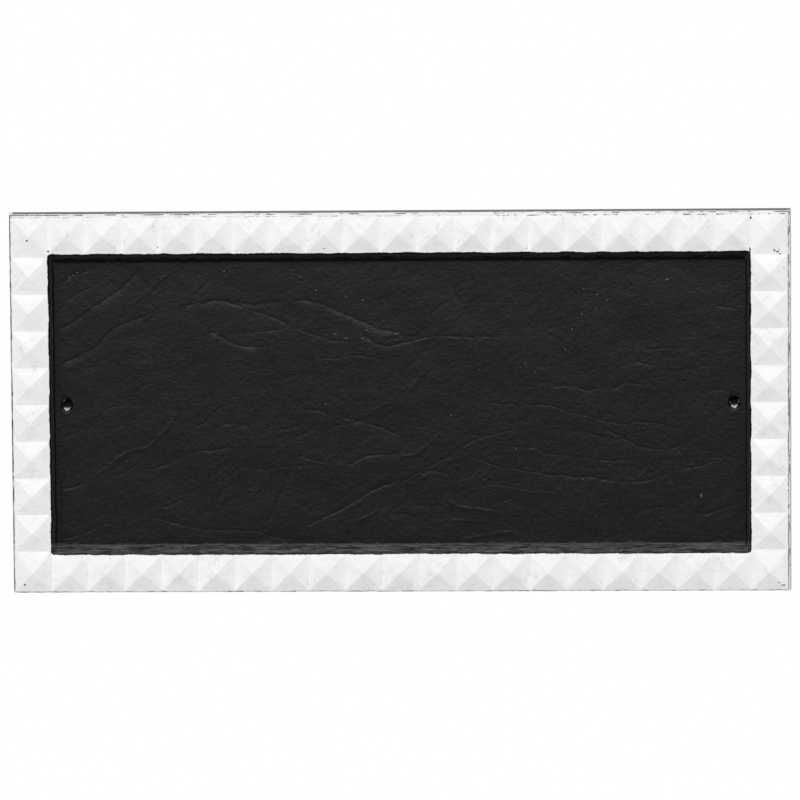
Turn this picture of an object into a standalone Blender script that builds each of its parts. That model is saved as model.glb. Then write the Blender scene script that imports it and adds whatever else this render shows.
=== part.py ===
"""Blank address plaque: one casting with a studded border and a sunk number field.

The plaque faces -Y and its flat back lies on the plane Y = 0. X runs along its
width and Z up its height. The origin is the centre of the back. Metres.
"""

import math

import bmesh
import bpy

# Studded border
STUD_PITCH = 0.01905
STUD_COLUMNS = 21
SIDE_STUDS = 8
STUD_HEIGHT = 0.005

# Opening in the border: its corner radius is also how far it runs past the side studs
OPENING_RADIUS = 0.00175

# Outer side, front to back: slope, narrow parting ledge, slope
BODY_DEPTH = 0.014
EDGE_RADIUS = 0.0008
UPPER_SIDE_DEPTH = 0.0046
UPPER_SIDE_FLARE = 0.00075
LEDGE_DEPTH = 0.0004
LEDGE_FLARE = 0.0004
LOWER_SIDE_FLARE = 0.00095

# Stepped wall round the number field: upper wall, ledge, lower wall
UPPER_WALL_DEPTH = 0.0024
UPPER_WALL_RUN = 0.0005
STEP_DEPTH = 0.0002
STEP_RUN_ACROSS = 0.0011
STEP_RUN_UP = 0.0018
LOWER_WALL_DEPTH = 0.0029
LOWER_WALL_RUN_ACROSS = 0.0008
LOWER_WALL_RUN_UP = 0.00165
FIELD_RADIUS = 0.0014

# Countersunk screw holes, one at each end of the number field
SCREW_EDGE_DISTANCE = 0.006
SCREW_BORE_RADIUS = 0.0025
SCREW_MOUTH_HALF_WIDTH = 0.0036
SCREW_MOUTH_HALF_HEIGHT = 0.0044
COUNTERSINK_DEPTH = 0.0021

# Facets
CORNER_STEPS = 6
HOLE_STEPS = 28

# Sizes that follow from those above
OPENING_HALF_WIDTH = STUD_PITCH * (STUD_COLUMNS / 2 - 1)
SIDE_HALF_HEIGHT = STUD_PITCH * SIDE_STUDS / 2
OPENING_HALF_HEIGHT = SIDE_HALF_HEIGHT + OPENING_RADIUS
FACE_HALF_WIDTH = OPENING_HALF_WIDTH + STUD_PITCH
FACE_HALF_HEIGHT = OPENING_HALF_HEIGHT + STUD_PITCH
FACE_Y = -BODY_DEPTH
FIELD_HALF_WIDTH = OPENING_HALF_WIDTH - UPPER_WALL_RUN - STEP_RUN_ACROSS - LOWER_WALL_RUN_ACROSS
FIELD_DEPTH = UPPER_WALL_DEPTH + STEP_DEPTH + LOWER_WALL_DEPTH
SCREW_X = FIELD_HALF_WIDTH - SCREW_EDGE_DISTANCE

WHITE = 0
BLACK = 1


def clear_scene():
    for thing in list(bpy.data.objects):
        bpy.data.objects.remove(thing, do_unlink=True)


def enamel(name, grey, roughness):
    """Painted surface of one grey, as a Principled material."""
    material = bpy.data.materials.new(name)
    material.use_nodes = True
    shader = material.node_tree.nodes["Principled BSDF"]
    shader.inputs["Base Color"].default_value = (grey, grey, grey, 1)
    shader.inputs["Metallic"].default_value = 0.0
    shader.inputs["Roughness"].default_value = roughness
    material.diffuse_color = (grey, grey, grey, 1)
    return material


def valleys(count):
    """Places of the valleys between a centred row of studs, its ends left out."""
    return [STUD_PITCH * (place - count / 2) for place in range(1, count)]


def outline(half_width, half_height, radius, x_shares, z_shares):
    """Rounded rectangle, anticlockwise from the lower end of its right side.

    The shares, from -1 to 1, place extra points along the straight runs.
    """
    run_x = half_width - radius
    run_z = half_height - radius
    straight = {
        0: [(half_width, share * run_z) for share in z_shares],
        1: [(share * run_x, half_height) for share in reversed(x_shares)],
        2: [(-half_width, share * run_z) for share in reversed(z_shares)],
        3: [(share * run_x, -half_height) for share in x_shares],
    }
    centres = [(run_x, run_z), (-run_x, run_z), (-run_x, -run_z), (run_x, -run_z)]
    points = []
    for side, (centre_x, centre_z) in enumerate(centres):
        points += straight[side]
        for step in range(CORNER_STEPS + 1):
            angle = math.pi / 2 * (side + step / CORNER_STEPS)
            points.append((centre_x + radius * math.cos(angle), centre_z + radius * math.sin(angle)))
    return points


def ellipse(centre_x, half_width, half_height):
    points = []
    for step in range(HOLE_STEPS):
        angle = 2 * math.pi * step / HOLE_STEPS
        points.append((centre_x + half_width * math.cos(angle), half_height * math.sin(angle)))
    return points


def ring(bm, points, y):
    return [bm.verts.new((x, y, z)) for x, z in points]


def bridge(bm, first, second, paint):
    """Band of quads between two rings of equal length."""
    count = len(first)
    for place in range(count):
        after = (place + 1) % count
        face = bm.faces.new((first[place], first[after], second[after], second[place]))
        face.material_index = paint


def sheet(bm, loops, paint):
    """Flat face that fills the first loop and leaves the others open."""
    edges = []
    for loop in loops:
        for place in range(len(loop)):
            pair = (loop[place - 1], loop[place])
            edges.append(bm.edges.get(pair) or bm.edges.new(pair))
    made = bmesh.ops.triangle_fill(bm, use_beauty=True, edges=edges, normal=(0, -1, 0))
    for piece in made["geom"]:
        if isinstance(piece, bmesh.types.BMFace):
            piece.material_index = paint


class FaceGrid:
    """Vertices on the plane that the studs stand on, shared by place."""

    def __init__(self, bm):
        self.bm = bm
        self.known = {}

    def at(self, x, z):
        key = (round(x, 8), round(z, 8))
        if key not in self.known:
            self.known[key] = self.bm.verts.new((x, FACE_Y, z))
        return self.known[key]

    def along(self, points):
        return [self.at(x, z) for x, z in points]

    def stud(self, points, tip_x, tip_z):
        """Pyramid over a closed loop of points."""
        tip = self.bm.verts.new((tip_x, FACE_Y - STUD_HEIGHT, tip_z))
        base = self.along(points)
        for place in range(len(base)):
            self.bm.faces.new((base[place - 1], base[place], tip)).material_index = WHITE


def side_studs(grid):
    """Right and left columns, between the corner studs."""
    for row in range(SIDE_STUDS):
        low = STUD_PITCH * row - SIDE_HALF_HEIGHT
        high = low + STUD_PITCH
        for side in (1, -1):
            outer = side * FACE_HALF_WIDTH
            inner = side * OPENING_HALF_WIDTH
            loop = [(outer, low), (outer, high), (inner, high), (inner, low)]
            grid.stud(loop, (outer + inner) / 2, (low + high) / 2)


def row_studs(grid):
    """Top and bottom rows, between the corner studs."""
    corner_run = OPENING_HALF_WIDTH - OPENING_RADIUS
    columns = STUD_COLUMNS - 2
    for column in range(columns):
        left = STUD_PITCH * column - OPENING_HALF_WIDTH
        right = left + STUD_PITCH
        for side in (1, -1):
            outer = side * FACE_HALF_HEIGHT
            inner = side * OPENING_HALF_HEIGHT
            loop = [(left, outer), (right, outer), (right, inner)]
            if column == columns - 1:
                loop.append((corner_run, inner))
            if column == 0:
                loop.append((-corner_run, inner))
            loop.append((left, inner))
            grid.stud(loop, (left + right) / 2, (outer + inner) / 2)


def corner_studs(grid, face_outline, opening_outline):
    """Taller corner studs, and the flat lips inside them that round the opening."""
    for side_x, side_z in ((1, 1), (-1, 1), (-1, -1), (1, -1)):
        def in_corner(point, half_width, half_height, radius):
            past_x = point[0] * side_x > half_width - radius - 1e-7
            past_z = point[1] * side_z > half_height - radius - 1e-7
            return past_x and past_z

        arc = [point for point in face_outline
               if in_corner(point, FACE_HALF_WIDTH, FACE_HALF_HEIGHT, EDGE_RADIUS)]
        if side_x * side_z < 0:
            arc.reverse()
        inner_x = side_x * OPENING_HALF_WIDTH
        inner_z = side_z * OPENING_HALF_HEIGHT
        valley_z = side_z * SIDE_HALF_HEIGHT
        loop = [(side_x * FACE_HALF_WIDTH, valley_z)] + arc
        loop += [(inner_x, side_z * FACE_HALF_HEIGHT), (inner_x, inner_z), (inner_x, valley_z)]
        tip_x = side_x * (FACE_HALF_WIDTH + OPENING_HALF_WIDTH) / 2
        tip_z = side_z * (FACE_HALF_HEIGHT + OPENING_HALF_HEIGHT) / 2
        grid.stud(loop, tip_x, tip_z)

        lip = [point for point in opening_outline
               if in_corner(point, OPENING_HALF_WIDTH, OPENING_HALF_HEIGHT, OPENING_RADIUS)]
        post = grid.at(inner_x, inner_z)
        for first, second in zip(lip, lip[1:]):
            grid.bm.faces.new((post, grid.at(*first), grid.at(*second))).material_index = WHITE


def outer_side(bm, front, x_shares, z_shares):
    """Flared side from the front edge to the back; returns the back's ring."""
    levels = [
        (UPPER_SIDE_FLARE, UPPER_SIDE_DEPTH, WHITE),
        (LEDGE_FLARE, LEDGE_DEPTH, WHITE),
        (LOWER_SIDE_FLARE, BODY_DEPTH - UPPER_SIDE_DEPTH - LEDGE_DEPTH, BLACK),
    ]
    flare = 0
    y = FACE_Y
    last = front
    for more_flare, more_depth, paint in levels:
        flare += more_flare
        y += more_depth
        points = outline(FACE_HALF_WIDTH + flare, FACE_HALF_HEIGHT + flare,
                         EDGE_RADIUS, x_shares, z_shares)
        next_ring = ring(bm, points, y)
        bridge(bm, last, next_ring, paint)
        last = next_ring
    return last


def stepped_wall(bm, opening, x_shares, z_shares):
    """Wall, ledge and wall down to the number field; returns the field's ring."""
    levels = [
        (UPPER_WALL_RUN, UPPER_WALL_RUN, UPPER_WALL_DEPTH),
        (STEP_RUN_ACROSS, STEP_RUN_UP, STEP_DEPTH),
        (LOWER_WALL_RUN_ACROSS, LOWER_WALL_RUN_UP, LOWER_WALL_DEPTH),
    ]
    half_width = OPENING_HALF_WIDTH
    half_height = OPENING_HALF_HEIGHT
    depth = 0
    last = opening
    for run_across, run_up, more_depth in levels:
        half_width -= run_across
        half_height -= run_up
        depth += more_depth
        radius = OPENING_RADIUS + (FIELD_RADIUS - OPENING_RADIUS) * depth / FIELD_DEPTH
        points = outline(half_width, half_height, radius, x_shares, z_shares)
        next_ring = ring(bm, points, FACE_Y + depth)
        bridge(bm, last, next_ring, BLACK)
        last = next_ring
    return last


def screw_hole(bm, centre_x):
    """Countersink and bore; returns the mouth's ring and the one on the back."""
    field_y = FACE_Y + FIELD_DEPTH
    mouth = ring(bm, ellipse(centre_x, SCREW_MOUTH_HALF_WIDTH, SCREW_MOUTH_HALF_HEIGHT), field_y)
    bore = ellipse(centre_x, SCREW_BORE_RADIUS, SCREW_BORE_RADIUS)
    throat = ring(bm, bore, field_y + COUNTERSINK_DEPTH)
    back = ring(bm, bore, 0)
    bridge(bm, mouth, throat, BLACK)
    bridge(bm, throat, back, BLACK)
    return mouth, back


def plaque():
    bm = bmesh.new()
    grid = FaceGrid(bm)

    face_run_x = FACE_HALF_WIDTH - EDGE_RADIUS
    face_run_z = FACE_HALF_HEIGHT - EDGE_RADIUS
    side_valleys = [-SIDE_HALF_HEIGHT] + valleys(SIDE_STUDS) + [SIDE_HALF_HEIGHT]
    face_x_shares = [x / face_run_x for x in valleys(STUD_COLUMNS)]
    face_z_shares = [z / face_run_z for z in side_valleys]
    face_outline = outline(FACE_HALF_WIDTH, FACE_HALF_HEIGHT, EDGE_RADIUS, face_x_shares, face_z_shares)

    opening_run_x = OPENING_HALF_WIDTH - OPENING_RADIUS
    opening_x_shares = [x / opening_run_x for x in valleys(STUD_COLUMNS - 2)]
    opening_z_shares = [z / SIDE_HALF_HEIGHT for z in valleys(SIDE_STUDS)]
    opening_outline = outline(OPENING_HALF_WIDTH, OPENING_HALF_HEIGHT, OPENING_RADIUS,
                              opening_x_shares, opening_z_shares)

    side_studs(grid)
    row_studs(grid)
    corner_studs(grid, face_outline, opening_outline)
    back = outer_side(bm, grid.along(face_outline), face_x_shares, face_z_shares)
    field = stepped_wall(bm, grid.along(opening_outline), opening_x_shares, opening_z_shares)
    holes = [screw_hole(bm, centre_x) for centre_x in (-SCREW_X, SCREW_X)]
    sheet(bm, [field] + [mouth for mouth, _ in holes], BLACK)
    sheet(bm, [back] + [end for _, end in holes], BLACK)
    bmesh.ops.recalc_face_normals(bm, faces=bm.faces)

    mesh = bpy.data.meshes.new("plaque")
    bm.to_mesh(mesh)
    bm.free()
    mesh.materials.append(enamel("white_enamel", 0.85, 0.4))
    mesh.materials.append(enamel("black_enamel", 0.014, 0.45))
    thing = bpy.data.objects.new("plaque", mesh)
    bpy.context.scene.collection.objects.link(thing)
    return thing


clear_scene()
plaque()
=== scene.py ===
"""Looks of a cast and painted address plaque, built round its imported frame.

Lengths are millimetres until the mesh is made. X runs along the plaque, Z up it,
and it faces -Y with its back on the plane Y = 0.
"""

import math

import bmesh
import bpy
import numpy as np
from mathutils import Matrix, Vector
from mathutils.geometry import delaunay_2d_cdt


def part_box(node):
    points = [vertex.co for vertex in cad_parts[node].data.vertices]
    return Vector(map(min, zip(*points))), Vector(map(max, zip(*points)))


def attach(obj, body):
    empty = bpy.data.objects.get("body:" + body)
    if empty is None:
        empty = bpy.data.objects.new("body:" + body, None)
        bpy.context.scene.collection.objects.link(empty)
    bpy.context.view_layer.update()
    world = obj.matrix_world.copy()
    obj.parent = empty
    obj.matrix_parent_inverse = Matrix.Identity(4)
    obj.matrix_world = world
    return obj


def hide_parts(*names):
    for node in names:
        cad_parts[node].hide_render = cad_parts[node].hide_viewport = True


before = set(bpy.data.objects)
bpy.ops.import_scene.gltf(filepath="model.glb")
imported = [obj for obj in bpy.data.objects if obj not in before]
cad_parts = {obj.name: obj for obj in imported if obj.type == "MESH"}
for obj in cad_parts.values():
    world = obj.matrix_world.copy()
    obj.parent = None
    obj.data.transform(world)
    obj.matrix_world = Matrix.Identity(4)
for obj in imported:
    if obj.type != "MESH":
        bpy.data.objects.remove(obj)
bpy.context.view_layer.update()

MM = 0.001
SEED = 7
WAVE_COUNT = 28

# Casting, from the frame's box inwards
low_corner, high_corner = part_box("plaque")
BACK_HALF_WIDTH = high_corner.x / MM
BACK_HALF_HEIGHT = high_corner.z / MM
STUD_HEIGHT = 5.0
SIDE_FLARE = 2.1
STUD_COLUMNS = 21
SIDE_STUDS = 8
FACE_Y = low_corner.y / MM + STUD_HEIGHT
FACE_HALF_WIDTH = BACK_HALF_WIDTH - SIDE_FLARE
FACE_HALF_HEIGHT = BACK_HALF_HEIGHT - SIDE_FLARE
PITCH = 2 * FACE_HALF_WIDTH / STUD_COLUMNS
OPENING_HALF_WIDTH = FACE_HALF_WIDTH - PITCH
OPENING_HALF_HEIGHT = FACE_HALF_HEIGHT - PITCH
SIDE_HALF_HEIGHT = PITCH * SIDE_STUDS / 2
FACE_CORNER_RADIUS = 0.8
FIELD_DEPTH = 5.5
FIELD_Y = FACE_Y + FIELD_DEPTH
FIELD_RADIUS = 1.4

# Mesh of the border: cells across a stud, how far they crowd to its tip and its edges, and
# cells of the plain strip between the side studs and the corner studs
CELLS = 16
CROWDING = 0.45
LIP_CELLS = 2

# Unevenness of the studs, their softened ridges and the paint in the valleys between them
TIP_OFFSET = 0.3
STUD_SHARES = (0.93, 0.985)
RIDGE_SOFTNESS = 0.05
VALLEY_FILL = 0.12
STUD_ROUGHNESS = 0.05

# Wall round the field: run from the ends, run up from the bottom, run down from the top,
# depth below the face, wobble
WALL_RINGS = [
    (0.10, 0.10, 0.10, 0.06, 0.03),
    (0.26, 0.26, 0.24, 0.32, 0.06),
    (0.42, 0.40, 0.55, 1.20, 0.10),
    (0.65, 0.52, 0.85, 2.20, 0.12),
    (0.90, 0.80, 1.10, 2.42, 0.14),
    (1.40, 1.50, 1.65, 2.52, 0.14),
    (1.82, 2.05, 2.00, 2.66, 0.16),
    (2.02, 2.45, 2.12, 3.10, 0.16),
    (2.42, 3.85, 2.40, 4.80, 0.14),
    (2.54, 4.45, 2.95, 5.28, 0.10),
    (2.64, 4.90, 4.10, FIELD_DEPTH, 0.08),
]

# Finer wobble of the wall and wobble of its depth, as shares of a ring's own
WALL_JAGS = 0.6
WALL_DEPTH_WOBBLE = 0.35

FIELD_HALF_WIDTH = OPENING_HALF_WIDTH - WALL_RINGS[-1][0]
FIELD_BOTTOM = WALL_RINGS[-1][1] - OPENING_HALF_HEIGHT
FIELD_TOP = OPENING_HALF_HEIGHT - WALL_RINGS[-1][2]

# Outer side: flare, depth below the face, and the wobble of both
SIDE_RINGS = [
    (0.12, 0.10),
    (0.24, 0.50),
    (0.48, 2.60),
    (0.75, 4.50),
    (1.08, 4.80),
    (1.17, 5.20),
    (1.45, 7.80),
    (1.78, 11.00),
    (2.04, 13.50),
    (SIDE_FLARE, -FACE_Y),
]
SIDE_WOBBLE = 0.05
SIDE_DEPTH_WOBBLE = 0.06

# Screw holes: half width, half height, depth below the field
SCREW_X = 172.575
HOLE_STEPS = 40
HOLE_RINGS = [
    (3.60, 4.40, 0.00),
    (3.42, 4.12, 0.10),
    (3.25, 3.80, 0.40),
    (2.98, 3.25, 1.10),
    (2.68, 2.75, 1.80),
    (2.50, 2.50, 2.10),
    (2.50, 2.50, 2.80),
    (2.50, 2.50, 5.00),
    (2.50, 2.50, -FIELD_Y),
]

# Creases of the number field: slope of the upper and the lower flank in degrees, and points.
# Both slopes are below zero for a ridge and above it for a groove.
CREASES = [
    # upper left
    (13, 3, [(-176.5, 38), (-168.5, 43), (-155, 52.5), (-144, 60), (-133, 70.5)]),
    (9, 4, [(-176.5, 20), (-167.5, 24.5), (-157, 30), (-149.5, 38), (-140, 42.5), (-128.5, 47)]),
    (2, 22, [(-175.5, 60.5), (-168.5, 66), (-157.5, 70.5)]),
    (4, 4, [(-175, 52.5), (-157, 62), (-144, 72.5)]),
    (-3, -9, [(-140, 49.5), (-131, 56.5), (-122, 64.5), (-115.5, 69.5)]),
    (7, 2, [(-106.5, 55.5), (-100, 62), (-96, 71)]),
    (-2, -2, [(-148.5, 3.5), (-138, 8), (-126, 15), (-115.5, 21), (-106.5, 25)]),
    # long folds of the upper middle
    (9, 2, [(-113, 50), (-105, 52), (-92, 53.5), (-84.5, 52.5), (-74, 51.5), (-66.5, 52.5), (-58.5, 53)]),
    (21, 5, [(-55.5, 54), (-45.5, 53), (-36.5, 50), (-25, 45), (-14.5, 40.5), (-9.5, 38), (-0.5, 37)]),
    (8, 6, [(-92, 53.5), (-84.5, 51), (-73, 47.5), (-62.5, 43.5), (-55.5, 40)]),
    (5, 5, [(-55.5, 40), (-48.5, 37), (-39, 34), (-31.5, 32), (-21, 32)]),
    (11, 6, [(-21, 37), (-14.5, 32.5), (-8.5, 29.5), (3.5, 31.5)]),
    (6, 8, [(-2, 31), (6, 31.5), (11, 33), (20, 34.5), (29, 34), (41, 34), (55, 33.5)]),
    (13, 8, [(-100, 38.5), (-93.5, 35.5), (-87, 32), (-79.5, 29.5), (-69, 29)]),
    (1, 9, [(-87, 35.5), (-79.5, 36), (-69, 37), (-58.5, 38)]),
    (7, 9, [(-43, 24), (-34, 23), (-25, 24.5), (-16, 24), (-7, 21.5)]),
    (5, 4, [(46, 66), (41, 65), (37, 63), (33, 59), (29.5, 55), (26, 52.5), (19, 48.5), (16.5, 43.5)]),
    (6, 2, [(26, 66.5), (26.5, 61.5), (30, 55), (34.5, 47.5)]),
    (7, 3, [(17.5, 55), (15.5, 50), (16.5, 43.5), (17.5, 37)]),
    (-4, -2, [(17.5, 19), (9.5, 12.5), (4.5, 6), (-0.5, -0.5)]),
    # upper right
    (3, 7, [(75.5, 11), (80.5, 8.5), (88.5, 8), (96, 6), (105, 7), (111.5, 7), (118, 9.5), (131, 8)]),
    (7, 8, [(160.5, 49), (174.5, 48.5)]),
    (4, 5, [(111.5, 28), (127, 27), (144, 28)]),
    (3, 2, [(129.5, 16), (150, 17), (158, 18.5)]),
    # lower left
    (5, 3, [(-176.5, -19.5), (-169.5, -15.5), (-159, -8.5), (-151, -2.5), (-144.5, 1)]),
    (2, 2, [(-168, -20), (-159, -11), (-146, -4.5), (-134, 0)]),
    (-7, -4, [(-164.5, -40), (-156, -36), (-148.5, -30), (-141, -25), (-133, -23), (-128, -20),
              (-122.5, -14.5), (-117.5, -8), (-114.5, -2.5)]),
    (9, 8, [(-177.5, -45), (-169.5, -43), (-160.5, -41)]),
    (6, 6, [(-133, -35), (-122.5, -32), (-116, -29.5), (-106, -25), (-95.5, -24), (-85, -22.5)]),
    (3, 3, [(-81, -28), (-76, -20.5), (-70.5, -15.5), (-64, -13.5), (-56.5, -13), (-50, -13.5)]),
    (4, 5, [(-127, -56), (-116.5, -51.5), (-106, -45), (-95.5, -36.5), (-87.5, -30), (-81, -27)]),
    (4, 3, [(-100.5, -43), (-93, -40.5), (-87.5, -36), (-84, -33), (-78.5, -34), (-69.5, -34),
            (-59, -33), (-48.5, -32.5), (-42.5, -32.5)]),
    (5, 7, [(-134.5, -58.5), (-125.5, -60), (-114, -63), (-101, -65.5), (-88, -66), (-76, -66.5),
            (-63.5, -70), (-57, -71)]),
    (6, 7, [(-177, -71), (-167.5, -68.5), (-158, -64.5), (-151.5, -62.5), (-144, -64.5)]),
    (6, 7, [(-111, -14), (-103, -11), (-99, -7.5), (-92.5, -2), (-87.5, -1)]),
    (2, 7, [(-96.5, -14), (-90, -11), (-83.5, -12), (-76, -11)]),
    # lower middle
    (6, 9, [(-54, -26), (-47.5, -29), (-39.5, -31), (-26.5, -32), (-21.5, -29.5), (-15, -27.5), (3, -27)]),
    (9, 1, [(-56, -30.5), (-58, -38), (-62.5, -47.5), (-67, -57.5), (-71, -67)]),
    (4, 11, [(-49.5, -64.5), (-40, -60), (-28, -54), (-16.5, -47), (-6, -42.5), (3, -40.5)]),
    (7, 7, [(-26, -30), (-28.5, -38), (-30.5, -43), (-29.5, -46.5)]),
    (6, 5, [(-53.5, -3), (-42, -4), (-33, -6), (-21.5, -9.5), (-11, -12.5), (3, -18.5)]),
    (-4, -7, [(-21.5, -9.5), (-16, -5.5), (-8.5, -1.5), (-2, 0.5)]),
    (10, 4, [(-7.5, -55), (-3.5, -57.5), (3, -58), (12, -60)]),
    (-8, -2, [(-24.5, -62.5), (-16.5, -58.5), (-8.5, -53.5)]),
    (6, 8, [(-2, -42.5), (5.5, -38.5), (14.5, -33.5), (26.5, -27.5), (31.5, -23.5), (36.5, -20.5),
            (47, -17), (55, -14.5), (60, -11.5)]),
    (-5, -2, [(-2, -27.5), (5.5, -27), (12, -23.5), (17.5, -18.5), (21, -14)]),
    (9, 7, [(8, -39), (14.5, -35.5), (21, -36), (27.5, -39)]),
    (-3, -5, [(14.5, -62), (25, -61), (39, -62), (52, -63)]),
    (-8, -5, [(21, -50), (31.5, -54), (40.5, -55.5), (51, -56.5)]),
    (4, 6, [(35.5, -45.5), (40.5, -42), (47, -36.5), (52, -33.5)]),
    (10, 8, [(33, -40.5), (38, -36.5), (42.5, -30)]),
    (-6, -4, [(27.5, -71.5), (39, -70), (49.5, -68), (60, -67)]),
    # lower right
    (6, 8, [(33, -27), (42, -30), (49.5, -33), (60, -34.5), (70, -36.5), (80.5, -38), (95, -39),
            (107.5, -40.5), (118, -41.5), (127, -41), (137.5, -37.5), (147.5, -34.5), (158, -32.5),
            (165.5, -30)]),
    (4, 6, [(48.5, -22.5), (56, -23), (70.5, -24), (78, -27), (88.5, -28), (100, -29.5),
            (109, -30.5), (115.5, -30), (119.5, -28.5)]),
    (5, 6, [(43.5, 0), (62.5, -1.5), (78, -2), (87, -5), (96, -7), (106.5, -10), (114, -11.5),
            (122, -10.5), (135, -11.5), (141, -14)]),
    (7, 3, [(87, -14.5), (96, -15.5), (107.5, -18.5), (118, -20), (124.5, -23), (136, -24.5), (147.5, -22)]),
    (9, 8, [(104, -13.5), (114, -18), (120.5, -20.5)]),
    (6, 13, [(93.5, -6), (97.5, -0.5)]),
    (-4, -2, [(36.5, -45.5), (45.5, -44), (54.5, -44), (62.5, -46), (70, -46.5), (78, -47.5), (85.5, -45)]),
    (5, 5, [(137.5, -59.5), (142.5, -55), (149, -50.5)]),
    (4, 8, [(151.5, -59.5), (163, -57), (172, -53)]),
]

# What is made of those slopes: their strength, the lower ones' share and the steepest slope,
# and the width of the steep flank and the most that the gentle one may run
CREASE_STRENGTH = 2.0
LOWER_SHARE = 0.75
STEEPEST = 33
STEEP_FLANK = 0.8
WIDEST_FLANK = 2.6

# Length over which a crease fades in and out, its stations, its wander and its uneven depth
CREASE_FADE = 6.0
CREASE_STATION = 0.9
CREASE_WANDER = 0.22
CREASE_PULSE = 0.35

# Rows of mesh points beside a crease; a short one has only the first few
CREASE_OFFSETS = [0.0, 0.35, -0.35, 0.7, -0.7, 1.2, -1.2]
WRINKLE_ROWS = 5

# Short creases between them: their count, their heading in degrees at four places along X,
# how far it strays, and their lengths and slopes
WRINKLES = 110
WRINKLE_X = [-170, -60, 40, 150]
WRINKLE_HEADING = [34, 26, 6, -8]
WRINKLE_STRAY = 13
WRINKLE_LENGTH = (7, 20)
WRINKLE_BEND = 0.12
WRINKLE_SLOPE = (1.5, 4.5)

# Unevenness of the field: height, shortest and longest wave, and stretch along X
FIELD_WAVES = [
    (0.10, 22, 60, 1.0),
    (0.03, 5, 12, 1.4),
    (0.022, 2.8, 5, 1.2),
]

# Where the relief fades out: distance from the field's edge, and share of a screw hole's size
EDGE_FADE = 3.0
HOLE_FADE = 0.7

# Mesh of the field and the back, how near its outline a triangle may lie outside it, and the
# angle in degrees from which an edge is sharp
FIELD_GRID = 1.2
POINT_CELL = 0.25
FIELD_MARGIN = 0.6
BACK_GRID = 18.0
RIM = 6.0
SHARP_ANGLE = 24


def waves(x, z, shortest, longest, seed, stretch=1.0):
    """Smooth noise of about -1 to 1 from plane waves; stretch above 1 draws it out along X."""
    random = np.random.default_rng(SEED + seed)
    total = np.zeros_like(np.asarray(x, float))
    for _ in range(WAVE_COUNT):
        heading = random.uniform(0, math.pi)
        length = random.uniform(shortest, longest)
        phase = random.uniform(0, 2 * math.pi)
        along = x * math.cos(heading) / stretch + z * math.sin(heading)
        total += np.sin(along * 2 * math.pi / length + phase)
    return total / math.sqrt(WAVE_COUNT)


def placed(name, data):
    """New object in the scene."""
    thing = bpy.data.objects.new(name, data)
    bpy.context.scene.collection.objects.link(thing)
    return thing


def smoothstep(value):
    """Smooth rise from 0 to 1 as value does the same."""
    value = np.clip(value, 0, 1)
    return value * value * (3 - 2 * value)


class Crease:
    """One fold line of the field, with a steep flank and a gentle one."""

    def __init__(self, number, upper, lower, points):
        self.sign = 1 if lower > 0 else -1
        upper = math.tan(math.radians(min(abs(upper) * CREASE_STRENGTH, STEEPEST)))
        lower = math.tan(math.radians(min(abs(lower) * CREASE_STRENGTH * LOWER_SHARE, STEEPEST)))
        self.depth = STEEP_FLANK * 2 / math.pi * max(upper, lower)
        self.upper_run = min(WIDEST_FLANK, self.depth * math.pi / 2 / upper)
        self.lower_run = min(WIDEST_FLANK, self.depth * math.pi / 2 / lower)
        self.line = self.smooth(points, number)
        steps = np.linalg.norm(np.diff(self.line, axis=0), axis=1)
        self.at = np.concatenate([[0], np.cumsum(steps)])
        self.length = self.at[-1]
        run = self.line[1:] - self.line[:-1]
        run = run / np.linalg.norm(run, axis=1)[:, None]
        self.normals = np.stack([-run[:, 1], run[:, 0]], axis=1)
        if self.line[-1][0] < self.line[0][0]:
            self.normals = -self.normals
        self.number = number

    def smooth(self, points, number):
        """Curve through the points, at even stations, with a slight wander."""
        p = np.array(points, float)
        p = np.vstack([2 * p[0] - p[1], p, 2 * p[-1] - p[-2]])
        found = []
        for a, b, c, d in zip(p, p[1:], p[2:], p[3:]):
            count = max(2, int(np.linalg.norm(c - b) / CREASE_STATION))
            for t in np.arange(count) / count:
                found.append(0.5 * (2 * b + (c - a) * t + (2 * a - 5 * b + 4 * c - d) * t ** 2
                                    + (3 * b - a - 3 * c + d) * t ** 3))
        found.append(p[-2])
        line = np.array(found)
        line[:, 0] += CREASE_WANDER * waves(line[:, 0], line[:, 1], 5, 12, 100 + number)
        line[:, 1] += CREASE_WANDER * waves(line[:, 0], line[:, 1], 5, 12, 300 + number)
        return line

    def strip(self, rows=len(CREASE_OFFSETS)):
        """Mesh points along the line and beside it."""
        normals = np.vstack([self.normals, self.normals[-1:]])
        return np.vstack([self.line + normals * offset for offset in CREASE_OFFSETS[:rows]])

    def height(self, x, z):
        """Height that the crease adds at each point."""
        added = np.zeros(len(x))
        reach = max(self.upper_run, self.lower_run)
        low = self.line.min(axis=0) - reach
        high = self.line.max(axis=0) + reach
        near = np.flatnonzero((x > low[0]) & (x < high[0]) & (z > low[1]) & (z < high[1]))
        if not len(near):
            return added
        spot = np.stack([x[near], z[near]], axis=1)
        start = self.line[:-1]
        run = self.line[1:] - start
        size = (run ** 2).sum(axis=1)
        offset = spot[:, None, :] - start[None, :, :]
        share = np.clip((offset * run[None]).sum(axis=2) / size[None], 0, 1)
        gap = offset - share[:, :, None] * run[None]
        distance = np.sqrt((gap ** 2).sum(axis=2))
        nearest = distance.argmin(axis=1)
        rows = np.arange(len(near))
        side = (gap[rows, nearest] * self.normals[nearest]).sum(axis=1)
        distance = distance[rows, nearest]
        place = self.at[nearest] + share[rows, nearest] * np.sqrt(size[nearest])
        flank = np.where(side > 0, self.upper_run, self.lower_run)
        ends = smoothstep(place / CREASE_FADE) * smoothstep((self.length - place) / CREASE_FADE)
        pulse = 1 + CREASE_PULSE * waves(place, 0 * place, 9, 26, 500 + self.number)
        profile = 0.5 + 0.5 * np.cos(np.pi * np.clip(distance / flank, 0, 1))
        added[near] = -self.sign * self.depth * profile * ends * pulse
        return added


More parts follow.
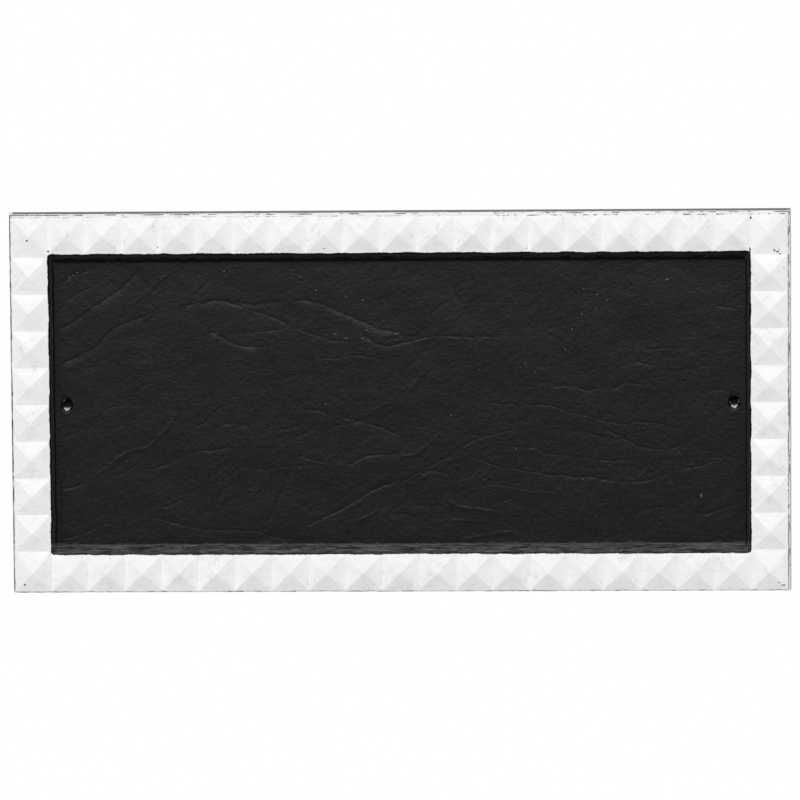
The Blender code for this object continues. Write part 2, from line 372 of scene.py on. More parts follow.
def short_creases():
    """Short, slightly bent creases, scattered thicker towards the bottom of the field."""
    random = np.random.default_rng(SEED + 9)
    found = []
    for number in range(WRINKLES):
        x = random.uniform(-168, 168)
        z = random.triangular(-70, -35, 64)
        heading = np.interp(x, WRINKLE_X, WRINKLE_HEADING) + random.normal(0, WRINKLE_STRAY)
        heading = math.radians(heading)
        length = random.uniform(*WRINKLE_LENGTH)
        bend = random.uniform(-WRINKLE_BEND, WRINKLE_BEND) * length
        upper = random.uniform(*WRINKLE_SLOPE)
        lower = random.uniform(*WRINKLE_SLOPE)
        points = []
        for share in (-0.5, -0.17, 0.17, 0.5):
            along = share * length
            aside = bend * (0.25 - share * share) * 4
            points.append((x + along * math.cos(heading) - aside * math.sin(heading),
                           z + along * math.sin(heading) + aside * math.cos(heading)))
        found.append(Crease(len(CREASES) + number, upper, lower, points))
    return found


long_creases = [Crease(number, *entry) for number, entry in enumerate(CREASES)]
wrinkles = short_creases()


def from_hole(x, z, margin=0.0):
    """Distance from the nearer screw hole's middle, where 1 is its mouth widened by a margin."""
    across = (np.abs(x) - SCREW_X) / (HOLE_RINGS[0][0] + margin)
    return np.hypot(across, z / (HOLE_RINGS[0][1] + margin))


def field_relief(x, z):
    """Height of the number field's surface above its plane."""
    height = np.zeros(len(x))
    for number, (size, shortest, longest, stretch) in enumerate(FIELD_WAVES):
        height += size * waves(x, z, shortest, longest, 1 + number, stretch)
    for crease in long_creases + wrinkles:
        height += crease.height(x, z)
    inset_x = FIELD_HALF_WIDTH - np.abs(x)
    inset_z = np.minimum(FIELD_TOP - z, z - FIELD_BOTTOM)
    inside_edge = smoothstep(np.minimum(inset_x, inset_z) / EDGE_FADE)
    return height * inside_edge * smoothstep((from_hole(x, z) - 1) / HOLE_FADE)


def stud_shares():
    """Shares of a stud's width, closer together at its valleys and its tip."""
    return [step / CELLS - CROWDING * math.sin(4 * math.pi * step / CELLS) / (4 * math.pi)
            for step in range(CELLS + 1)]


def grid_lines():
    """X and Z of the border's grid lines."""
    shares = stud_shares()
    x_lines = [-FACE_HALF_WIDTH]
    for column in range(STUD_COLUMNS):
        x_lines += [PITCH * (column + share) - FACE_HALF_WIDTH for share in shares[1:]]
    z_lines = [PITCH * share - FACE_HALF_HEIGHT for share in shares]
    lip = (OPENING_HALF_HEIGHT - SIDE_HALF_HEIGHT) / LIP_CELLS
    z_lines += [lip * step - OPENING_HALF_HEIGHT for step in range(1, LIP_CELLS + 1)]
    for row in range(SIDE_STUDS):
        z_lines += [PITCH * (row + share) - SIDE_HALF_HEIGHT for share in shares[1:]]
    z_lines += [SIDE_HALF_HEIGHT + lip * step for step in range(1, LIP_CELLS + 1)]
    z_lines += [PITCH * share + OPENING_HALF_HEIGHT for share in shares[1:]]
    return x_lines, z_lines


def stud_height(x, z):
    """Height of the studded border above its base plane."""
    random = np.random.default_rng(SEED)
    shape = (SIDE_STUDS + 2, STUD_COLUMNS)
    tip_x = random.uniform(-TIP_OFFSET, TIP_OFFSET, shape)
    tip_z = random.uniform(-TIP_OFFSET, TIP_OFFSET, shape)
    tall = random.uniform(*STUD_SHARES, shape)

    column = np.clip(np.floor((x + FACE_HALF_WIDTH) / PITCH), 0, STUD_COLUMNS - 1).astype(int)
    row = np.clip(np.floor((z + SIDE_HALF_HEIGHT) / PITCH) + 1, 0, SIDE_STUDS + 1).astype(int)
    left = PITCH * column - FACE_HALF_WIDTH
    right = left + PITCH
    at_corner = (column == 0) | (column == STUD_COLUMNS - 1)
    inner = np.where(at_corner, SIDE_HALF_HEIGHT, OPENING_HALF_HEIGHT)
    bottom = PITCH * (row - 1) - SIDE_HALF_HEIGHT
    top = bottom + PITCH
    middle = (bottom + top) / 2
    top_row = row == SIDE_STUDS + 1
    bottom_row = row == 0
    bottom = np.where(top_row, inner, np.where(bottom_row, -FACE_HALF_HEIGHT, bottom))
    top = np.where(top_row, FACE_HALF_HEIGHT, np.where(bottom_row, -inner, top))
    middle = np.where(top_row, FACE_HALF_HEIGHT - PITCH / 2, middle)
    middle = np.where(bottom_row, PITCH / 2 - FACE_HALF_HEIGHT, middle)

    centre_x = (left + right) / 2 + tip_x[row, column]
    centre_z = middle + tip_z[row, column]
    across = np.where(x > centre_x, (x - centre_x) / (right - centre_x), (centre_x - x) / (centre_x - left))
    up = np.where(z > centre_z, (z - centre_z) / (top - centre_z), (centre_z - z) / (centre_z - bottom))
    larger = (across + up + np.sqrt((across - up) ** 2 + RIDGE_SOFTNESS ** 2)) / 2
    height = STUD_HEIGHT * tall[row, column] * np.clip(1 - larger, 0, 1)
    rough = STUD_ROUGHNESS * waves(x, z, 3.5, 9, 11) * np.clip(height / STUD_HEIGHT * 4, 0, 1)
    return np.sqrt(height ** 2 + VALLEY_FILL ** 2) - VALLEY_FILL + rough


class Shell:
    """Points and faces of the one closed mesh."""

    def __init__(self):
        self.points = []
        self.faces = []

    def add(self, x, y, z):
        """Add points and return their numbers."""
        start = len(self.points)
        self.points += list(zip(x, y, z))
        return list(range(start, len(self.points)))

    def band(self, first, second):
        """Close the strip between two rings of equally many points."""
        for place in range(len(first)):
            self.faces.append((first[place - 1], first[place], second[place], second[place - 1]))


def rounded_loop(half_width, half_height, radius_x, radius_z, x_shares, z_shares):
    """Rounded rectangle and its outward normals, anticlockwise from the right side's lower end."""
    run_x = half_width - radius_x
    run_z = half_height - radius_z
    straight = [
        [(half_width, share * run_z, 1, 0) for share in z_shares],
        [(share * run_x, half_height, 0, 1) for share in reversed(x_shares)],
        [(-half_width, share * run_z, -1, 0) for share in reversed(z_shares)],
        [(share * run_x, -half_height, 0, -1) for share in x_shares],
    ]
    centres = [(run_x, run_z), (-run_x, run_z), (-run_x, -run_z), (run_x, -run_z)]
    found = []
    steps = 2 * LIP_CELLS
    for side, (centre_x, centre_z) in enumerate(centres):
        found += straight[side]
        for step in range(1, steps):
            angle = math.pi / 2 * (side + step / steps)
            cos = math.cos(angle)
            sin = math.sin(angle)
            found.append((centre_x + radius_x * cos, centre_z + radius_z * sin, cos, sin))
    return np.array(found).T


def on_rounded_edge(x, z, half_width, half_height, radius):
    """Points of the face's edge moved out to a larger rounded rectangle, with normals."""
    x = x * half_width / FACE_HALF_WIDTH
    z = z * half_height / FACE_HALF_HEIGHT
    centre_x = np.clip(x, radius - half_width, half_width - radius)
    centre_z = np.clip(z, radius - half_height, half_height - radius)
    normal_x = x - centre_x
    normal_z = z - centre_z
    size = np.hypot(normal_x, normal_z)
    normal_x = normal_x / size
    normal_z = normal_z / size
    return centre_x + radius * normal_x, centre_z + radius * normal_z, normal_x, normal_z


def studded_border(shell):
    """Border of studs; returns the rings of its outer edge and of the opening."""
    x_lines, z_lines = grid_lines()
    columns = len(x_lines) - 1
    rows = len(z_lines) - 1
    places = {}
    kept = []
    for i in range(columns + 1):
        for j in range(rows + 1):
            if i <= CELLS or i >= columns - CELLS or j <= CELLS or j >= rows - CELLS:
                places[i, j] = len(kept)
                kept.append((x_lines[i], z_lines[j]))
    x, z = np.array(kept).T
    y = FACE_Y - stud_height(x, z)
    corner = (np.abs(x) > FACE_HALF_WIDTH - 1e-6) & (np.abs(z) > FACE_HALF_HEIGHT - 1e-6)
    rounded_x, rounded_z, _, _ = on_rounded_edge(x[corner], z[corner], FACE_HALF_WIDTH,
                                                 FACE_HALF_HEIGHT, FACE_CORNER_RADIUS)
    x[corner] = rounded_x
    z[corner] = rounded_z
    made = shell.add(x, y, z)
    at = {key: made[place] for key, place in places.items()}

    for i in range(columns):
        for j in range(rows):
            if i < CELLS or i >= columns - CELLS or j < CELLS or j >= rows - CELLS:
                square = [at[i, j], at[i + 1, j], at[i + 1, j + 1], at[i, j + 1]]
                if j < CELLS + LIP_CELLS:
                    local = j
                elif j >= rows - CELLS - LIP_CELLS:
                    local = j - (rows - CELLS)
                else:
                    local = (j - CELLS - LIP_CELLS) % CELLS
                if (i % CELLS < CELLS / 2) != (local < CELLS / 2):
                    square = square[1:] + square[:1]
                a, b, c, d = square
                shell.faces += [(a, b, c), (a, c, d)]

    outer = [at[columns, j] for j in range(rows)]
    outer += [at[i, rows] for i in range(columns, 0, -1)]
    outer += [at[0, j] for j in range(rows, 0, -1)]
    outer += [at[i, 0] for i in range(columns)]

    right = columns - CELLS
    top = rows - CELLS
    low = CELLS + LIP_CELLS
    last_x = right - LIP_CELLS
    last_z = top - LIP_CELLS
    run_x = x_lines[last_x]
    run_z = z_lines[last_z]
    x_shares = [line / run_x for line in x_lines[low:last_x + 1]]
    z_shares = [line / run_z for line in z_lines[low:last_z + 1]]
    radii = (OPENING_HALF_WIDTH - run_x, OPENING_HALF_HEIGHT - run_z)
    loop_x, loop_z, _, _ = rounded_loop(OPENING_HALF_WIDTH, OPENING_HALF_HEIGHT, *radii, x_shares, z_shares)

    straight = [
        [at[right, j] for j in range(low, last_z + 1)],
        [at[i, top] for i in range(last_x, low - 1, -1)],
        [at[CELLS, j] for j in range(last_z, low - 1, -1)],
        [at[i, CELLS] for i in range(low, last_x + 1)],
    ]
    posts = [
        [(right, last_z + 1), (right, top), (last_x + 1, top)],
        [(low - 1, top), (CELLS, top), (CELLS, last_z + 1)],
        [(CELLS, low - 1), (CELLS, CELLS), (low - 1, CELLS)],
        [(last_x + 1, CELLS), (right, CELLS), (right, low - 1)],
    ]
    opening = []
    arcs = []
    for side in range(4):
        opening += straight[side]
        place = len(opening)
        count = 2 * LIP_CELLS - 1
        arc = shell.add(loop_x[place:place + count], [FACE_Y] * count, loop_z[place:place + count])
        opening += arc
        arcs.append(arc)
    for side in range(4):
        start = straight[side][-1]
        end = straight[(side + 1) % 4][0]
        before, post, after = [at[key] for key in posts[side]]
        first, second, third = arcs[side]
        shell.faces += [(start, first, before), (before, first, second), (before, second, post),
                        (post, second, after), (after, second, third), (after, third, end)]
    return outer, opening, radii, x_shares, z_shares


def field_wall(shell, opening, radii, x_shares, z_shares):
    """Lip, ledge and lower wall down to the field; returns the field's ring."""
    last = opening
    for number, (run_across, run_up, run_down, depth, wobble) in enumerate(WALL_RINGS):
        sunk = depth / FIELD_DEPTH
        radius_x, radius_z = [radius + (FIELD_RADIUS - radius) * sunk for radius in radii]
        x, z, normal_x, normal_z = rounded_loop(
            OPENING_HALF_WIDTH - run_across, OPENING_HALF_HEIGHT - (run_up + run_down) / 2,
            radius_x, radius_z, x_shares, z_shares)
        z = z + (run_up - run_down) / 2
        shift = wobble * (waves(x, z, 12, 40, 20) + WALL_JAGS * waves(x, z, 3, 8, 21 + number))
        y = FACE_Y + depth + WALL_DEPTH_WOBBLE * wobble * waves(x, z, 4, 14, 40 + number)
        if number == len(WALL_RINGS) - 1:
            y = np.full(len(x), FIELD_Y)
        ring = shell.add(x + normal_x * shift, y, z + normal_z * shift)
        shell.band(last, ring)
        last = ring
    return last


def outer_side(shell, outer):
    """Side of the casting, with its parting ledge; returns the back's ring."""
    edge = np.array([shell.points[place] for place in outer])
    last = outer
    for number, (flare, depth) in enumerate(SIDE_RINGS):
        x, z, normal_x, normal_z = on_rounded_edge(
            edge[:, 0], edge[:, 2], FACE_HALF_WIDTH + flare, FACE_HALF_HEIGHT + flare,
            FACE_CORNER_RADIUS)
        shift = SIDE_WOBBLE * waves(x, z, 4, 16, 60 + number) - SIDE_WOBBLE
        shift = np.minimum(shift, SIDE_FLARE - flare)
        y = FACE_Y + depth + SIDE_DEPTH_WOBBLE * waves(x, z, 5, 20, 80 + number)
        if number == len(SIDE_RINGS) - 1:
            shift = 0 * shift
            y = np.zeros(len(x))
        ring = shell.add(x + normal_x * shift, y, z + normal_z * shift)
        shell.band(last, ring)
        last = ring
    return last


def screw_hole(shell, centre_x):
    """Countersunk bore; returns the rings of its mouth and of the back."""
    angles = np.arange(HOLE_STEPS) * 2 * math.pi / HOLE_STEPS
    rings = []
    for half_width, half_height, depth in HOLE_RINGS:
        x = centre_x + half_width * np.cos(angles)
        z = half_height * np.sin(angles)
        rings.append(shell.add(x, np.full(HOLE_STEPS, FIELD_Y + depth), z))
    for first, second in zip(rings, rings[1:]):
        shell.band(first, second)
    return rings[0], rings[-1]


def inside(points, loop):
    """Which points lie in a closed loop."""
    x, z = points.T
    found = np.zeros(len(points), bool)
    for (x0, z0), (x1, z1) in zip(loop, np.roll(loop, -1, axis=0)):
        if z0 == z1:
            continue
        crosses = ((z0 > z) != (z1 > z)) & (x < (x1 - x0) * (z - z0) / (z1 - z0) + x0)
        found ^= crosses
    return found


def sheet(shell, outline, holes, spots, height):
    """Triangles between an outline and its holes, through the given spots."""
    loops = [outline] + holes
    edge_ids = [place for loop in loops for place in loop]
    flat = np.array([(shell.points[place][0], shell.points[place][2]) for place in edge_ids])
    edges = []
    start = 0
    for loop in loops:
        edges += [(start + place, start + (place + 1) % len(loop)) for place in range(len(loop))]
        start += len(loop)
    everything = [Vector(p) for p in np.vstack([flat, spots])]
    verts, _, faces, sources, _, _ = delaunay_2d_cdt(everything, edges, [], 0, 1e-6)
    places = np.array([v[:] for v in verts])
    ids = np.array([source[0] if source else -1 for source in sources])
    new = np.flatnonzero((ids < 0) | (ids >= len(flat)))
    target = np.empty(len(places), int)
    old = np.flatnonzero((ids >= 0) & (ids < len(flat)))
    target[old] = np.array(edge_ids)[ids[old]]
    x, z = places[new].T
    target[new] = shell.add(x, height(x, z), z)
    triangles = np.array([tuple(face) for face in faces])
    centres = places[triangles].mean(axis=1)
    keep = np.ones(len(triangles), bool)
    position = 0
    for number, loop in enumerate(loops):
        corners = flat[position:position + len(loop)]
        position += len(loop)
        low = corners.min(axis=0)
        high = corners.max(axis=0)
        if number == 0:
            some = np.flatnonzero(((centres < low + RIM) | (centres > high - RIM)).any(axis=1))
            keep[some] &= inside(centres[some], corners)
        else:
            some = np.flatnonzero(((centres > low) & (centres < high)).all(axis=1))
            keep[some] &= ~inside(centres[some], corners)
    shell.faces += [tuple(face) for face in target[triangles[keep]]]


def field_spots():
    """Mesh points of the field: close along the creases, even elsewhere."""
    strips = [crease.strip() for crease in long_creases]
    strips += [crease.strip(WRINKLE_ROWS) for crease in wrinkles]
    along = np.vstack(strips)
    _, first = np.unique(np.floor(along / POINT_CELL).astype(int), axis=0, return_index=True)
    along = along[np.sort(first)]
    x = np.arange(-FIELD_HALF_WIDTH, FIELD_HALF_WIDTH, FIELD_GRID)
    z = np.arange(FIELD_BOTTOM, FIELD_TOP, FIELD_GRID)
    grid_x, grid_z = np.meshgrid(x, z)
    grid_x = grid_x + (np.arange(len(z)) % 2 * FIELD_GRID / 2)[:, None]
    even = np.stack([grid_x.ravel(), grid_z.ravel()], axis=1)
    taken = set()
    near = np.round(along / POINT_CELL).astype(int)
    for step_x in (-2, -1, 0, 1, 2):
        for step_z in (-2, -1, 0, 1, 2):
            taken.update(map(tuple, near + (step_x, step_z)))
    free = [tuple(spot) not in taken for spot in np.round(even / POINT_CELL).astype(int)]
    spots = np.vstack([along, even[free]])
    x, z = spots.T
    clear_x = FIELD_HALF_WIDTH - np.abs(x) > FIELD_MARGIN
    clear_z = np.minimum(FIELD_TOP - z, z - FIELD_BOTTOM) > FIELD_MARGIN
    return spots[clear_x & clear_z & (from_hole(x, z, FIELD_MARGIN) > 1)]


def back_spots():
    """Mesh points of the flat back, clear of the bores."""
    x = np.arange(-BACK_HALF_WIDTH + BACK_GRID, BACK_HALF_WIDTH - BACK_GRID / 2, BACK_GRID)
    z = np.arange(-BACK_HALF_HEIGHT + BACK_GRID, BACK_HALF_HEIGHT - BACK_GRID / 2, BACK_GRID)
    grid_x, grid_z = np.meshgrid(x, z)
    spots = np.stack([grid_x.ravel(), grid_z.ravel()], axis=1)
    from_bore = np.hypot(np.abs(spots[:, 0]) - SCREW_X, spots[:, 1])
    return spots[from_bore > 2 * HOLE_RINGS[-1][0]]


def plaque_casting():
    """The whole casting as one closed mesh."""
    shell = Shell()
    outer, opening, radii, x_shares, z_shares = studded_border(shell)
    field = field_wall(shell, opening, radii, x_shares, z_shares)
    back = outer_side(shell, outer)
    holes = [screw_hole(shell, centre_x) for centre_x in (-SCREW_X, SCREW_X)]
    sheet(shell, field, [mouth for mouth, _ in holes], field_spots(),
          lambda x, z: FIELD_Y - field_relief(x, z))
    sheet(shell, back, [end for _, end in holes], back_spots(), lambda x, z: 0 * x)

    points = np.array(shell.points)
    mesh = bpy.data.meshes.new("plaque_casting")
    mesh.from_pydata((points * MM).tolist(), [], shell.faces)
    bm = bmesh.new()
    bm.from_mesh(mesh)
    bmesh.ops.recalc_face_normals(bm, faces=bm.faces)
    bm.to_mesh(mesh)
    bm.free()
    mesh.shade_smooth()
    mesh.set_sharp_from_angle(angle=math.radians(SHARP_ANGLE))
    return placed("plaque_casting", mesh)


# Where the white stops: its distance past the opening's edge with how much it wavers, and its
# depth on the upper and lower side and on the ends
PAINT_EDGE = 0.12
PAINT_EDGE_WOBBLE = 1.5
PAINT_EDGE_JAGS = 0.7
PAINT_EDGE_RADIUS = 1.6
SIDE_PAINT_DEPTH = 7.2
END_PAINT_DEPTH = 14.6
SIDE_PAINT_WOBBLE = 2.6

# Worn lines: the parting ledge's depth, the X between which its wear grows, and the X and Z
# between which the wear of the front edge grows
LEDGE_LINE_DEPTH = 4.8
LEDGE_WORN_X = (-166, -174)
EDGE_WORN_X = (20, 110)
EDGE_WORN_Z = (80, 90)

# Greys and roughness of the paints, and the greys painted on as shade, sheen and highlights
WHITE_TONES = (0.83, 0.89)
BLACK_TONES = (0.0024, 0.0036)
# Painted shade: the deeper black at the foot of the top wall
TOP_FOOT_SHADE_TONE = 0.0006
# Painted sheen of the upward-facing wall at the bottom of the field
BOTTOM_SHEEN_TONE = 0.085
# Specks and painted highlights on the black
SPECK_AND_HIGHLIGHT_TONE = 0.22
SPECK_AND_HIGHLIGHT_SHARE = 0.5
# Painted highlight in the countersinks
SEAT_HIGHLIGHT_TONE = 0.55
WHITE_ROUGHNESS = (0.40, 0.50)
BLACK_ROUGHNESS = (0.38, 0.52)
TOP_FOOT_SMOOTHING = 0.26
SPECULAR_LEVEL = 0.30
BUMP_DISTANCE = 0.00025

# Chips in the white down to the black: X, Z, half width and half height
CHIPS = [
    (-191.2, 85.3, 0.60, 0.45), (-180.6, 79.6, 0.50, 0.45), (180.9, 95.1, 0.50, 0.60),
    (193.1, 78.3, 0.50, 0.45), (194.7, 77.6, 0.65, 0.40), (195.9, 76.4, 0.40, 0.40),
    (195.4, 78.6, 0.30, 0.30), (-194.8, -93.3, 0.45, 0.45), (180.6, 78.3, 0.35, 1.70),
    (195.1, -93.2, 0.90, 0.28), (197.5, -94.6, 1.10, 0.28), (200.8, 99.6, 1.10, 1.20),
    (-124.0, 81.4, 0.40, 0.28), (-38.0, 80.4, 0.35, 0.28), (66.0, 80.0, 0.40, 0.25),
]

# Bright specks, scratches and painted highlights on the black: X, Z, half width and half height
SPECKS_AND_HIGHLIGHTS = [
    (-90.2, 68.6, 0.45, 0.30), (-51.0, 65.3, 0.32, 0.26), (-43.0, 58.6, 0.32, 0.32),
    (-27.3, 55.0, 0.28, 0.28), (-18.6, 53.2, 0.34, 0.26), (-16.9, 37.7, 0.30, 0.30),
    (-33.0, 35.9, 0.90, 0.20), (-27.5, 33.6, 0.90, 0.20), (-19.0, 33.4, 0.70, 0.20),
    (-1.5, 35.8, 1.10, 0.22), (95.2, 58.4, 0.30, 0.30), (102.3, 55.6, 0.34, 0.30),
    (107.5, 52.8, 0.28, 0.34), (94.4, 45.4, 0.30, 0.30), (101.2, 48.0, 0.28, 0.28),
    (89.3, 37.7, 0.30, 0.28), (85.7, 27.3, 0.30, 0.26), (65.0, 20.1, 0.26, 0.26),
    (70.1, 15.4, 0.28, 0.28), (41.2, 17.0, 0.26, 0.26), (59.8, -24.5, 0.28, 0.28),
    (94.5, -40.0, 0.26, 0.26), (138.0, 63.1, 1.00, 0.22), (155.4, -48.6, 0.35, 1.00),
    (-38.5, -0.5, 0.30, 0.24), (26.5, -6.6, 0.40, 0.24), (-170.2, 65.8, 0.40, 0.24),
    (-168.3, 66.9, 0.50, 0.26), (-166.2, 68.2, 0.45, 0.24),
]

# Painted highlight in the lower half of each countersink: Z, half width and half height
SEAT_HIGHLIGHT = (-2.1, 1.5, 1.3)


class Value:
    """Number from a node; a sum with it is a further node."""

    def __init__(self, graph, socket):
        self.graph = graph
        self.socket = socket

    def __add__(self, other):
        return self.graph.math("ADD", self, other)

    def __sub__(self, other):
        return self.graph.math("SUBTRACT", self, other)

    def __rsub__(self, other):
        return self.graph.math("SUBTRACT", other, self)

    def __mul__(self, other):
        return self.graph.math("MULTIPLY", self, other)

    def __abs__(self):
        return self.graph.math("ABSOLUTE", self)


class Graph:
    """Short forms for building a node tree."""

    def __init__(self, tree):
        self.tree = tree

    def put(self, socket, value):
        if isinstance(value, Value):
            value = value.socket
        if isinstance(value, bpy.types.NodeSocket):
            self.tree.links.new(value, socket)
        else:
            socket.default_value = value

    def node(self, kind, inputs=None, **settings):
        node = self.tree.nodes.new(kind)
        for name, value in settings.items():
            setattr(node, name, value)
        for name, value in (inputs or {}).items():
            self.put(node.inputs[name], value)
        return node

    def math(self, operation, first, second=0.0):
        node = self.node("ShaderNodeMath", {0: first, 1: second}, operation=operation)
        return Value(self, node.outputs[0])

    def most(self, values):
        """Largest of several values."""
        total = values[0]
        for value in values[1:]:
            total = self.math("MAXIMUM", total, value)
        return total

    def ramp(self, value, start, end, low=0.0, high=1.0):
        """Smooth change from low to high as value goes from start to end."""
        inputs = {"Value": value, "From Min": start, "From Max": end, "To Min": low, "To Max": high}
        node = self.node("ShaderNodeMapRange", inputs, interpolation_type="SMOOTHSTEP")
        return Value(self, node.outputs[0])

    def noise(self, vector, size, detail=2.0, roughness=0.5):
        """Noise of about 0.3 to 0.7 with bumps of the given size."""
        inputs = {"Vector": vector, "Scale": 1 / size, "Detail": detail, "Roughness": roughness}
        return Value(self, self.node("ShaderNodeTexNoise", inputs).outputs[0])

    def waver(self, vector, size, detail=2.0, roughness=0.5):
        """The same noise about zero."""
        return self.noise(vector, size, detail, roughness) - 0.5

    def stretched(self, vector, x, y, z):
        """Place that makes noise longer by the given factors."""
        scale = (1 / x, 1 / y, 1 / z)
        return self.node("ShaderNodeMapping", {"Vector": vector, "Scale": scale}).outputs[0]

    def blob(self, spot, ragged, centre_x, centre_z, half_x, half_z):
        """Share of a ragged ellipse in X and Z, the same at every depth."""
        centre = (centre_x, 0, centre_z)
        shares = (1 / half_x, 0, 1 / half_z)
        offset = self.node("ShaderNodeVectorMath", {0: spot, 1: centre}, operation="SUBTRACT")
        flat = self.node("ShaderNodeVectorMath", {0: offset.outputs[0], 1: shares}, operation="MULTIPLY")
        size = self.node("ShaderNodeVectorMath", {0: flat.outputs[0]}, operation="LENGTH").outputs["Value"]
        return self.ramp(Value(self, size) + ragged, 1.15, 0.85)

    def seen_by_camera(self, first, second, share=1.0):
        """First shader, giving way to the second by a share where the camera sees it directly."""
        seen = self.node("ShaderNodeLightPath").outputs["Is Camera Ray"]
        inputs = {0: self.math("MULTIPLY", seen, share), 1: first, 2: second}
        return self.node("ShaderNodeMixShader", inputs).outputs[0]

    def blend(self, share, first, second):
        """Colour between two others."""
        return self.node("ShaderNodeMix", {0: share, 6: first, 7: second}, data_type="RGBA").outputs[2]


def grey(tone):
    return tone, tone, tone, 1


def new_material(name):
    """Material with its graph and its main shader."""
    material = bpy.data.materials.new(name)
    material.use_nodes = True
    return material, Graph(material.node_tree), material.node_tree.nodes["Principled BSDF"]


class Spots:
    """Places on the casting in millimetres, as node sockets."""

    def __init__(self, graph):
        place = graph.node("ShaderNodeTexCoord").outputs["Object"]
        scaled = graph.node("ShaderNodeVectorMath", {"Vector": place, "Scale": 1 / MM}, operation="SCALE")
        self.spot = scaled.outputs[0]
        parts = graph.node("ShaderNodeSeparateXYZ", {"Vector": self.spot}).outputs
        self.x, y, self.z = [Value(graph, part) for part in parts]
        self.far_x = abs(self.x)
        self.far_z = abs(self.z)
        self.depth = y - FACE_Y
        self.on_end = graph.ramp(self.far_x, FACE_HALF_WIDTH - 0.1, FACE_HALF_WIDTH + 0.1)
        self.past_opening = self.past_rounded_edge(graph)
        self.ragged = graph.waver(self.spot, 0.5) * 1.6

    def past_rounded_edge(self, graph):
        """Distance past the opening's rounded edge."""
        corner_x = graph.most([self.far_x - (OPENING_HALF_WIDTH - PAINT_EDGE_RADIUS), 0.0])
        corner_z = graph.most([self.far_z - (OPENING_HALF_HEIGHT - PAINT_EDGE_RADIUS), 0.0])
        return graph.math("SQRT", corner_x * corner_x + corner_z * corner_z) - PAINT_EDGE_RADIUS


def painted_white(graph, at):
    """Share of white before its wear, ending at the opening and part way down the side."""
    edge = at.past_opening - graph.waver(at.spot, 8.0) * PAINT_EDGE_WOBBLE
    edge = edge - graph.waver(at.spot, 1.6, 2.0, 0.6) * PAINT_EDGE_JAGS
    on_border = graph.ramp(edge, PAINT_EDGE - 0.05, PAINT_EDGE + 0.05)

    stop = at.on_end * (END_PAINT_DEPTH - SIDE_PAINT_DEPTH) + SIDE_PAINT_DEPTH
    stop = stop + graph.waver(at.spot, 9.0, 3.0, 0.6) * SIDE_PAINT_WOBBLE
    return on_border * graph.ramp(stop - at.depth, -0.15, 0.15)


def worn_lines(graph, at):
    """Broken dark lines along the front edge and along the parting ledge."""
    past_edge = graph.most([at.far_x - FACE_HALF_WIDTH, at.far_z - FACE_HALF_HEIGHT])
    broken = graph.noise(graph.stretched(at.spot, 2.2, 4, 2.2), 2.0, 3.0, 0.65)
    end_width = at.on_end * graph.ramp(broken, 0.26, 0.54, 0.0, 0.24)
    top_width = graph.ramp(broken, 0.46, 0.60, 0.0, 0.16) * graph.ramp(at.z, *EDGE_WORN_Z)
    top_width = top_width * graph.ramp(at.x, *EDGE_WORN_X)
    width = graph.ramp(broken, 0.42, 0.64, 0.0, 0.13) + (end_width + top_width)
    from_edge = abs(past_edge + 0.04 + graph.waver(at.spot, 4.0, 3.0, 0.6) * 0.7)
    edge_line = graph.ramp(width - from_edge, 0.0, 0.08)

    from_ledge = abs(at.depth - LEDGE_LINE_DEPTH)
    broken = graph.noise(graph.stretched(at.spot, 3, 4, 3), 2.6, 3.0, 0.65)
    width = graph.ramp(broken, 0.44, 0.62, 0.0, 0.35) + graph.ramp(at.x, *LEDGE_WORN_X, 0.0, 0.22)
    ledge_line = graph.ramp(width - from_ledge, 0.0, 0.12) * graph.ramp(past_edge, 0.3, 0.5)
    return [edge_line, ledge_line]


def chips(graph, at):
    """Chips through the white, scattered and placed, and hair lines in it."""
    cells = graph.node("ShaderNodeTexVoronoi", {"Vector": at.spot, "Scale": 1 / 7.0, "Randomness": 1.0})
    size = graph.ramp(graph.noise(at.spot, 23.0, 0.0), 0.55, 0.75, 0.0, 0.05)
    found = [graph.ramp(size - cells.outputs["Distance"], 0.0, 0.02, 0.0, 0.6)]
    found += [graph.blob(at.spot, at.ragged, *chip) for chip in CHIPS]
    from_hair = abs(graph.waver(at.spot, 5.0, 3.0, 0.6))
    patches = graph.ramp(graph.noise(at.spot, 11.0, 2.0, 0.6), 0.53, 0.62, 0.0, 0.32)
    found.append(graph.ramp(from_hair, 0.010, 0.002) * patches)
    return found


def white_colour(graph, at):
    brushed = graph.noise(graph.stretched(at.spot, 3.0, 1.0, 1.0), 2.2, 4.0, 0.6)
    clouds = graph.noise(at.spot, 14.0, 3.0, 0.55)
    return graph.blend(graph.ramp(brushed * 0.5 + clouds * 0.5, 0.35, 0.65), *map(grey, WHITE_TONES))


def top_foot_shade_and_gloss(graph, at):
    """Share of the band along the foot of the wall at the top of the field that is painted a deeper black, a
    painted shade under the top wall, and made smoother.

    It is the same at every depth below the ledge, so it also marks a stripe on the back.
    """
    near_top = graph.ramp(at.z, FIELD_TOP - 1.3, FIELD_TOP + 0.1)
    below_ledge = graph.ramp(at.depth, FIELD_DEPTH - 2.8, FIELD_DEPTH - 2.5)
    return near_top * below_ledge * graph.ramp(at.past_opening, -0.5, -1.0)


